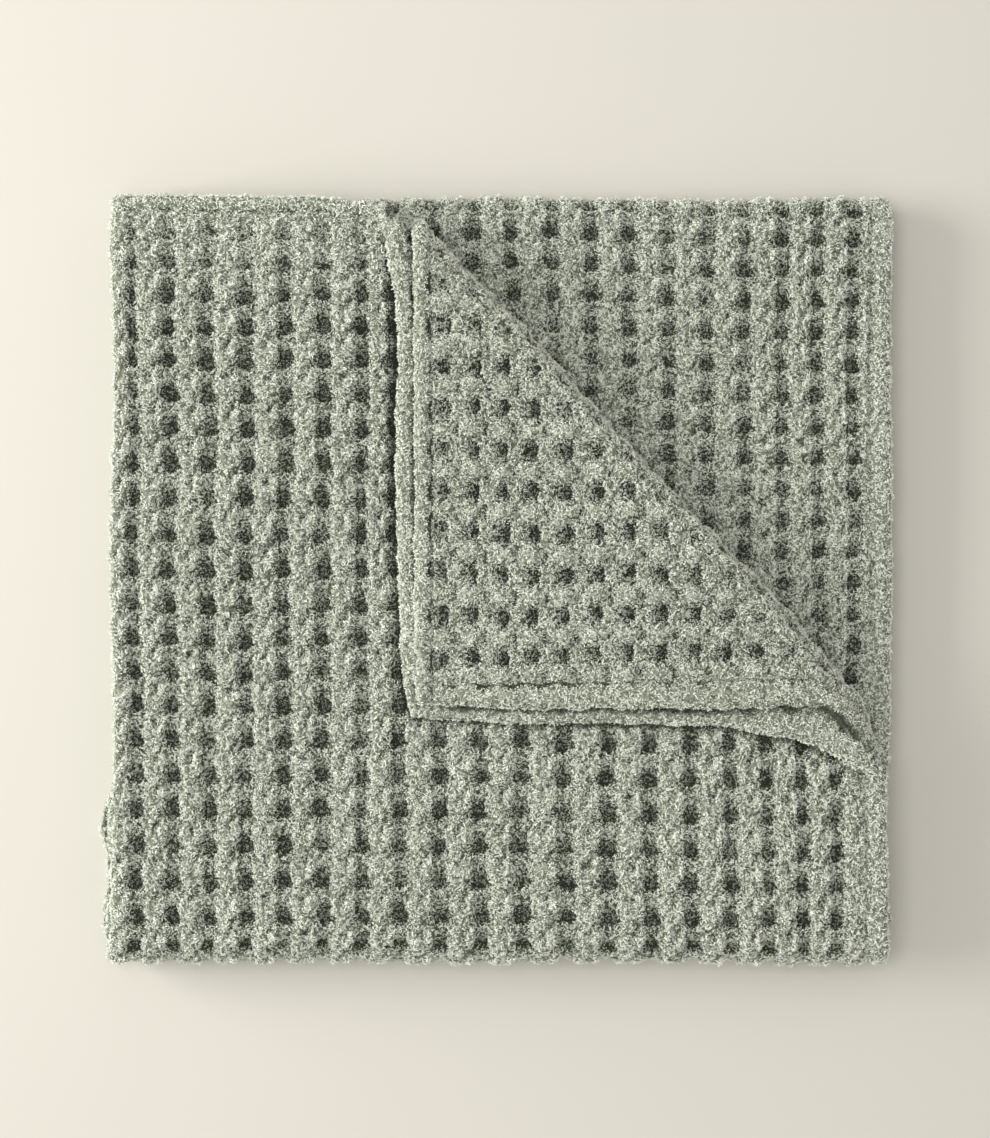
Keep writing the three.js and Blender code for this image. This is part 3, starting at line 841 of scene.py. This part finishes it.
def relief_left(x, y, out_x, flap_face, top, inner, front, back):
    """How much of the knit's relief is left where the cloth is bent or pressed."""
    past = diagonal_frame(x, y)[1] - math.pi * FLAP["lower"]["radius"]
    at_bend = BEND_RELIEF + (1 - BEND_RELIEF) * smoothstep(*BEND_REACH, past)
    left = np.where(flap_face, at_bend, 1 - CREASE_LOSS * out_x**2)
    left = left * (1 - FOLD_LOSS * np.sin(math.pi * np.maximum(front % 1, back % 1)) ** 2)
    return left * (1 - INNER_LOSS * inner - FRONT_LOSS * top * smoothstep(*FRONT_REACH, y))


def lump_height(u, v):
    """Lumps of the cloth and tufts of its yarn."""
    height = TUFT_HEIGHT * (0.5 - 2 * (tufts(u, v)[0] / TUFT) ** 2)
    for lump in LUMPS:
        height = height + lump["height"] * lattice_noise(u, v, lump["cell"], lump["seed"])
    return height


def shift_thirds(x, y, front, back):
    """X of the cloth, with the hem and the crease of each lower third where they lie."""
    share = (x - CREASE_X) / (HEM_X - CREASE_X)
    hem, crease = third_shift("hem", y, front, back), third_shift("crease", y, front, back)
    return x + hem * share + crease * (1 - share)


def place_cloth(x, turn, inset, side_height, v, end_inset, end_height):
    """Points of the cloth, the ways they face and the values of its knit, for lines and steps on it."""
    out_x, out_path = np.cos(turn), np.sin(turn)
    upper, lower = halves(turn)
    on_top, inner = v <= TOP_END, v > LOWEST_END
    turned = upper & on_top & (diagonal_frame(x, path_frame(v)[0])[1] > 0)
    top_face, flap_face = upper & on_top & ~turned, lower & on_top
    shows = station_mask(x, turn, inset, v, end_inset)[0] > 0
    from_side, side_height, inset = tuck_turning(HEM_X - x, inset, side_height, turned)
    v, end_height, end_inset = tuck_turning(v, end_inset, end_height, turned)
    x = HEM_X - from_side
    y, z, normal_y, normal_z, front, back = path_frame(v)

    # Pattern of the knit, with plain hems
    across_crease = np.where(upper | lower, 0, HALF_BAND * (turn - math.pi / 2))
    flat_u = np.where(lower, 2 * CREASE_X - math.pi * HALF_BAND - x, x - across_crease)
    column, row = knit_cells(x, y, v, across_crease, lower, inner, front, back)
    stretched = relief_left(x, y, out_x, flap_face, upper & on_top, inner, front, back)
    relief = face_relief(column, row, lower) * plain_share(inset, end_inset, lower) * stretched
    relief = relief * np.where(shows, 1, HIDDEN_RELIEF)
    height = np.maximum(side_height + end_height, -PLY) + relief + lump_height(flat_u, v)

    # Folded thirds, with hems that waver a little
    base = np.stack([
        shift_thirds(x, y, front, back) + HALF_BAND * out_x,
        y + HALF_BAND * out_path * normal_y,
        z + HALF_BAND * out_path * normal_z,
    ], axis=1)
    normal = np.stack([out_x, out_path * normal_y, out_path * normal_z], axis=1)
    from_rim = np.minimum(inset, end_inset)
    waver = HEM_WAVER * (1 - smoothstep(*HEM_WAVER_REACH, from_rim))
    base[:, 0] += waver * lattice_noise(flat_u, v, HEM_WAVER_CELL, SEEDS["hem_x"])
    base[:, 1] += waver * lattice_noise(flat_u, v, HEM_WAVER_CELL, SEEDS["hem_y"])

    # Turned-back corner
    for name, side in (("upper", upper), ("lower", lower)):
        moved = side & on_top
        base[moved], normal[moved], pinch = turn_back(base[moved], name)
        height[moved] *= 1 + (pinch - 1) * (1 - smoothstep(*PINCH_REACH, from_rim[moved]))

    # Gaps beside its hems: the cloth sinks or rises in them, and they take painted shade
    gap = np.zeros(len(base))
    gap[turned] = gap_share(*base[turned, :2].T, "lower")
    gap[top_face] = gap_share(*base[top_face, :2].T, "upper")
    gap[flap_face] = curl_share(*base[flap_face, :2].T)
    height[flap_face] -= CURL_DEPTH * gap[flap_face]
    under_hem = np.minimum(height + FLAP_GAPS["lower"]["rise"] * gap, np.maximum(height, 0))
    height[turned] = under_hem[turned]
    height[top_face] += FLAP_GAPS["upper"]["rise"] * gap[top_face]
    # Painted shade in the gaps beside the turned-back hems and in the groove where the lower hem curls down
    gap = gap * np.where(top_face, FLAP_GAPS["upper"]["shade"], FLAP_GAPS["lower"]["shade"])

    points = settle(base + normal * height[:, None])
    knit = {
        "relief": relief, "stretched": stretched, "gap": gap,
        "column": column, "row": row, "u": flat_u, "v": v, "inset": inset, "end_inset": end_inset,
        "lower": lower.astype(float), "shows": shows.astype(float),
    }
    return points, normal, knit


def mesh_object(name, points, triangles, smooth):
    mesh = bpy.data.meshes.new(name)
    mesh.vertices.add(len(points))
    mesh.vertices.foreach_set("co", (points * MM).ravel().astype(np.float32))
    mesh.loops.add(triangles.size)
    mesh.loops.foreach_set("vertex_index", triangles.ravel().astype(np.int32))
    mesh.polygons.add(len(triangles))
    mesh.polygons.foreach_set("loop_start", np.arange(0, triangles.size, 3, dtype=np.int32))
    mesh.polygons.foreach_set("use_smooth", np.full(len(triangles), smooth))
    mesh.update(calc_edges=True)
    piece = bpy.data.objects.new(name, mesh)
    bpy.context.scene.collection.objects.link(piece)
    return piece


def add_values(piece, name, values):
    attribute = piece.data.attributes.new(name, "FLOAT", "POINT")
    attribute.data.foreach_set("value", values.astype(np.float32))


def add_normals(piece, normals):
    """Normals that the fibres are lit by: partly their own, partly those of the cloth under them."""
    attribute = piece.data.attributes.new("custom_normal", "FLOAT_VECTOR", "POINT")
    attribute.data.foreach_set("vector", normals.ravel().astype(np.float32))


def add_layout(piece, places):
    """Flat layout of the surface, one place for each corner of each triangle."""
    layer = piece.data.uv_layers.new(name="OFBake")
    layer.data.foreach_set("uv", places.ravel().astype(np.float32))


def stitch_line(knit):
    """How far each place lies from the stitched lines of the hems, and how strong they are there."""
    from_side = np.abs(knit["inset"] - SIDE_HEM + STITCH_WAVER * np.cos(2 * math.pi * knit["row"]))
    from_end = np.abs(knit["end_inset"] - END_HEM + STITCH_WAVER * np.cos(2 * math.pi * knit["column"]))
    by_side = from_side < from_end
    along = np.where(by_side, knit["row"], knit["column"])
    uneven = STITCH_UNEVEN * lattice_noise(along, along, STITCH_CELLS, SEEDS["stitch"])
    uneven = np.cos(2 * math.pi * along) + uneven
    strength = STITCH_LEAST + (1 - STITCH_LEAST) * smoothstep(*STITCH_RANGE, uneven)
    faded = strength * (1 - STITCH_FADE * smoothstep(*STITCH_FADE_ROWS, along))
    strength = np.where(by_side, faded, strength)
    strength = strength * by_half(knit["lower"], {"upper": UPPER_STITCH, "lower": 1})
    return np.minimum(from_side, from_end), strength


def scatter_roots(points, triangles, out, knit, rng):
    """Roots of the fibres on the cloth: places, normals, outward ways, and the values of the knit there."""
    area = np.linalg.norm(facing_ways(points[triangles]), axis=1)
    in_pit = smoothstep(*PIT_PILE_DEPTHS, -knit["relief"][triangles].mean(axis=1))
    weight = area * knit["pile"][triangles].mean(axis=1) * (1 - PIT_PILE_LOSS * in_pit)
    chosen = triangles[rng.choice(len(triangles), FIBRES, p=weight / weight.sum())]
    reach, turn = np.sqrt(rng.random(FIBRES)), rng.random(FIBRES)
    share = np.stack([1 - reach, reach * (1 - turn), reach * turn], axis=1)
    vectors = (points, vertex_normals(points, triangles), out)
    root, normal, outward = [(values[chosen] * share[:, :, None]).sum(axis=1) for values in vectors]
    here = {name: (values[chosen] * share).sum(axis=1) for name, values in knit.items()}
    return root, normal, outward, here


def along_cloth(ways, normal):
    return ways - normal * (ways * normal).sum(axis=1)[:, None]


def grow_pile(points, triangles, out, knit):
    """Fibres on the cloth, slim triangles that widen to their cut end. Gives corners, shades and normals."""
    rng = np.random.default_rng(SEEDS["pile"])
    root, normal, outward, here = scatter_roots(points, triangles, out, knit, rng)
    lower = here["lower"]

    # The knit under each fibre, finer than the cloth's steps
    in_hem = (here["inset"] < SIDE_HEM) | (here["end_inset"] < END_HEM)
    relief = face_relief(here["column"], here["row"], lower) * here["stretched"]
    relief = relief * plain_share(here["inset"], here["end_inset"], lower)
    finer = np.clip(relief - here["relief"], *FINER_RELIEF)
    root = root + outward * np.where((here["shows"] > 0.99) & ~in_hem, finer, 0)[:, None]
    steep = np.where(in_hem, 0, 1 - smoothstep(*STEEP, (normal * outward).sum(axis=1)))
    in_pit = by_half(lower, {name: smoothstep(*KNIT[name]["dark"], -relief) for name in KNIT})
    from_stitch, stitched = stitch_line(here)
    # Crevices between tufts: fibres there sink, grow shorter and take painted shade
    patchy = 1 - CREVICE_UNEVEN * (1 - lattice_noise(here["u"], here["v"], CREVICE_CELL, SEEDS["crevice"]))
    crevice = patchy * (1 - smoothstep(*CREVICE_WIDTH, tufts(here["u"], here["v"])[1]))

    # Lean, length and place
    x, y, z = root.T
    clump_x, clump_y = x + CLUMP_SLANT[0] * z, y + CLUMP_SLANT[1] * z
    clumps = [lattice_noise(clump_x, clump_y, CLUMP, SEEDS["clump"] + axis) for axis in range(3)]
    clumps = np.stack(clumps, axis=1)
    lean = along_cloth(CLUMP_LEAN * clumps + RANDOM_LEAN * rng.normal(size=(FIBRES, 3)), normal)
    way = unit(normal * UPRIGHT + lean)
    side = unit(np.cross(way, rng.normal(size=(FIBRES, 3)))) * FIBRE_WIDTH / 2
    length = rng.uniform(*FIBRE_LENGTH, FIBRES)
    at_stitch = stitched * (1 - smoothstep(*STITCH_REACH, from_stitch))
    shares = {"steep": steep, "pit": in_pit, "stitch": at_stitch, "gap": here["gap"], "crevice": crevice}
    for name, share in shares.items():
        length = length * (1 - SHORTER[name] * share)
    lift = rng.uniform(*FIBRE_LIFT, FIBRES) - CREVICE_DROP * crevice
    middle = root + TUFTING * along_cloth(clumps, normal) + normal * lift[:, None]
    half = way * (0.5 * length)[:, None]
    fibres = np.stack([middle - half, middle + half - side, middle + half + side], axis=1)

    # Normals, which face outwards, and shades
    facing = unit(facing_ways(fibres))
    away = (facing * normal).sum(axis=1) < 0
    fibres[away] = fibres[away][:, [0, 2, 1]]
    facing[away] = -facing[away]
    glow = unit(normal * CLOTH_GLOW + facing * FIBRE_GLOW)
    fibres[:, :, 2] = np.maximum(fibres[:, :, 2], FLOOR_CLEARANCE)
    # Painted highlight: fibres higher on the ribs are paler, less so on the lower half's face
    crest_highlight = smoothstep(*HIGHLIGHT_DEPTHS, relief) * (1 - LOWER_HIGHLIGHT_LOSS * lower)
    patch = lattice_noise(x + PATCH_SLANT * z, y - PATCH_SLANT * z, PATCH_CELL, SEEDS["patch"])
    tone = TONE["base"] + TONE["crest_highlight"] * crest_highlight + TONE["patch"] * patch
    tone = tone + TONE["random"] * rng.normal(size=FIBRES)
    # Painted shade: fibres are darker in the pits, in crevices between tufts, in the gaps beside the
    # turned-back hems and along the stitched grooves
    tone = tone - TONE["pit"] * in_pit - TONE["crevice"] * crevice - here["gap"]
    tone = tone - TONE["stitch"] * stitched * (1 - smoothstep(*STITCH_WIDTH, from_stitch))
    # Painted shade at each fibre's root and a painted highlight along one edge of its cut end
    shade = np.clip(tone[:, None] + np.array(CORNER_SHADES), 0, 1)
    order = np.argsort(root[:, 0], kind="stable")
    return fibres[order], shade[order], glow[order]


def make_pile(points, triangles, out, knit, material):
    fibres, shade, glow = grow_pile(points, triangles, out, knit)
    pieces = []
    for number, chunk in enumerate(np.array_split(np.arange(FIBRES), FIBRE_PIECES)):
        count = len(chunk)
        faces = np.arange(3 * count).reshape(-1, 3)
        piece = mesh_object(f"pile_{number + 1}", fibres[chunk].reshape(-1, 3), faces, False)
        add_values(piece, "shade", shade[chunk].ravel())
        add_normals(piece, np.repeat(glow[chunk], 3, axis=0))
        cells = math.ceil(math.sqrt(count))
        corner = np.stack([np.arange(count) % cells, np.arange(count) // cells], axis=1)
        triangle = np.array([[0.1, 0.1], [0.9, 0.1], [0.1, 0.9]])
        add_layout(piece, (corner[:, None, :] + triangle[None]) / cells)
        piece.data.materials.append(material)
        pieces.append(piece)
    return pieces


def new_material(name):
    material = bpy.data.materials.new(name)
    material.use_nodes = True
    return material, material.node_tree.nodes


def set_inputs(node, values):
    for name, value in values.items():
        node.inputs[name].default_value = value


def color_by(material, value, stops):
    """Colours a material by a ramp over a value."""
    nodes, links = material.node_tree.nodes, material.node_tree.links
    ramp = nodes.new("ShaderNodeValToRGB")
    elements = ramp.color_ramp.elements
    while len(elements) < len(stops):
        elements.new(0.5)
    for element, (position, color) in zip(elements, stops):
        element.position = position
        element.color = (*color, 1)
    links.new(value, ramp.inputs["Fac"])
    links.new(ramp.outputs["Color"], nodes["Principled BSDF"].inputs["Base Color"])


def value_node(nodes, name):
    attribute = nodes.new("ShaderNodeAttribute")
    attribute.attribute_name = name
    return attribute.outputs["Fac"]


def pile_material():
    material, nodes = new_material("chenille_pile")
    shader = nodes["Principled BSDF"]
    # The shade value is the fibre's tone, with its painted highlight and painted shade in it
    color_by(material, value_node(nodes, "shade"), [
        (0.0, (0.08, 0.09, 0.065)),
        (0.4, (0.43, 0.46, 0.38)),
        (0.75, (0.76, 0.79, 0.70)),
        (1.0, (0.94, 0.96, 0.90)),
    ])
    set_inputs(shader, {"Roughness": 0.9, "Specular IOR Level": 0.15})
    set_inputs(shader, {"Sheen Weight": 0.12, "Sheen Roughness": 0.5})
    return material


def cloth_material():
    material, nodes = new_material(SLOT)
    links = material.node_tree.links
    shader = nodes["Principled BSDF"]
    place = nodes.new("ShaderNodeTexCoord")
    noise = nodes.new("ShaderNodeTexNoise")
    set_inputs(noise, {"Scale": 320, "Detail": 4})
    links.new(place.outputs["Object"], noise.inputs["Vector"])
    # The cloth's colour is a darker copy of the yarn's, as painted shade under the pile; its depth value
    # darkens it further with painted shade in pits, under the pile, in gaps and along stitches
    add = nodes.new("ShaderNodeMath")
    add.operation = "MULTIPLY_ADD"
    add.inputs[1].default_value = SHADE_OF_DEPTH
    links.new(value_node(nodes, "depth"), add.inputs[0])
    links.new(noise.outputs["Fac"], add.inputs[2])
    color_by(material, add.outputs[0], [
        (0.0, (0.04, 0.046, 0.034)),
        (0.35, (0.20, 0.22, 0.17)),
        (0.7, (0.45, 0.48, 0.40)),
    ])
    bump = nodes.new("ShaderNodeBump")
    set_inputs(bump, {"Strength": 0.6, "Distance": 0.001})
    links.new(noise.outputs["Fac"], bump.inputs["Height"])
    links.new(bump.outputs["Normal"], shader.inputs["Normal"])
    set_inputs(shader, {"Roughness": 0.95, "Specular IOR Level": 0.1})
    return material


def make_blanket():
    points, triangles, flat, out, knit = cloth_surface()
    low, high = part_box(NODE)
    points[:, :2] += np.array((low + high)[:2]) / 2 / MM
    points[:, 2] = np.maximum(points[:, 2], FLOOR_CLEARANCE)
    cloth = mesh_object("knit_cloth", points, triangles, True)
    from_stitch, stitched = stitch_line(knit)
    stitch = stitched * (1 - smoothstep(*CLOTH_STITCH_WIDTH, from_stitch))
    # Painted shade: the cloth is darker deep in its pits, under the pile, in the gaps beside the turned-back
    # hems and along the stitched grooves
    depth = knit["relief"] - CLOTH_PAINTED_SHADE["pile"] * knit["pile"] - CLOTH_PAINTED_SHADE["gap"] * knit["gap"]
    add_values(cloth, "depth", depth - CLOTH_PAINTED_SHADE["stitch"] * stitch)
    add_layout(cloth, flat[triangles])
    cloth.data.materials.append(cloth_material())
    fibres = make_pile(points, triangles, out, knit, pile_material())
    for piece in [cloth, *fibres]:
        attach(piece, "root")
        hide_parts(NODE)


def make_floor():
    half = 3.0
    corners = np.array([[-half, -half, 0], [half, -half, 0], [half, half, 0], [-half, half, 0]]) / MM
    floor = mesh_object("floor", corners, np.array([[0, 1, 2], [0, 2, 3]]), False)
    material, nodes = new_material("pale_floor")
    noise = nodes.new("ShaderNodeTexNoise")
    set_inputs(noise, {"Scale": 2.0})
    color_by(material, noise.outputs["Fac"], [(0.3, (0.60, 0.582, 0.525)), (0.7, (0.62, 0.602, 0.545))])
    set_inputs(nodes["Principled BSDF"], {"Roughness": 0.8, "Specular IOR Level": 0.1})
    floor.data.materials.append(material)


def add_area_light(name, place, size, power):
    light = bpy.data.lights.new(name, "AREA")
    light.shape = "SQUARE"
    light.size = size
    light.energy = power
    light.color = LIGHT_COLOR
    holder = bpy.data.objects.new(name, light)
    holder.location = place
    holder.rotation_mode = "QUATERNION"
    holder.rotation_quaternion = (-holder.location).to_track_quat("-Z", "Y")
    bpy.context.scene.collection.objects.link(holder)


def make_studio():
    for light in LIGHTS:
        add_area_light(**light)
    world = bpy.data.worlds.new("studio")
    world.use_nodes = True
    background = world.node_tree.nodes["Background"]
    set_inputs(background, {"Color": ROOM_COLOR, "Strength": ROOM_LIGHT})
    bpy.context.scene.world = world
    bpy.context.scene.view_settings.view_transform = "Standard"


def make_camera():
    """Straight above, as far as a product camera stands, with the whole photograph's frame in view."""
    data = bpy.data.cameras.new("camera")
    data.sensor_width = SENSOR
    data.lens = SENSOR * CAMERA_DISTANCE / FRAME_HEIGHT
    camera = bpy.data.objects.new("camera", data)
    camera.location = (CAMERA_X, CAMERA_Y, TOP_FACE * MM + CAMERA_DISTANCE)
    bpy.context.scene.collection.objects.link(camera)
    bpy.context.scene.camera = camera


make_camera()
make_floor()
make_studio()
make_blanket()
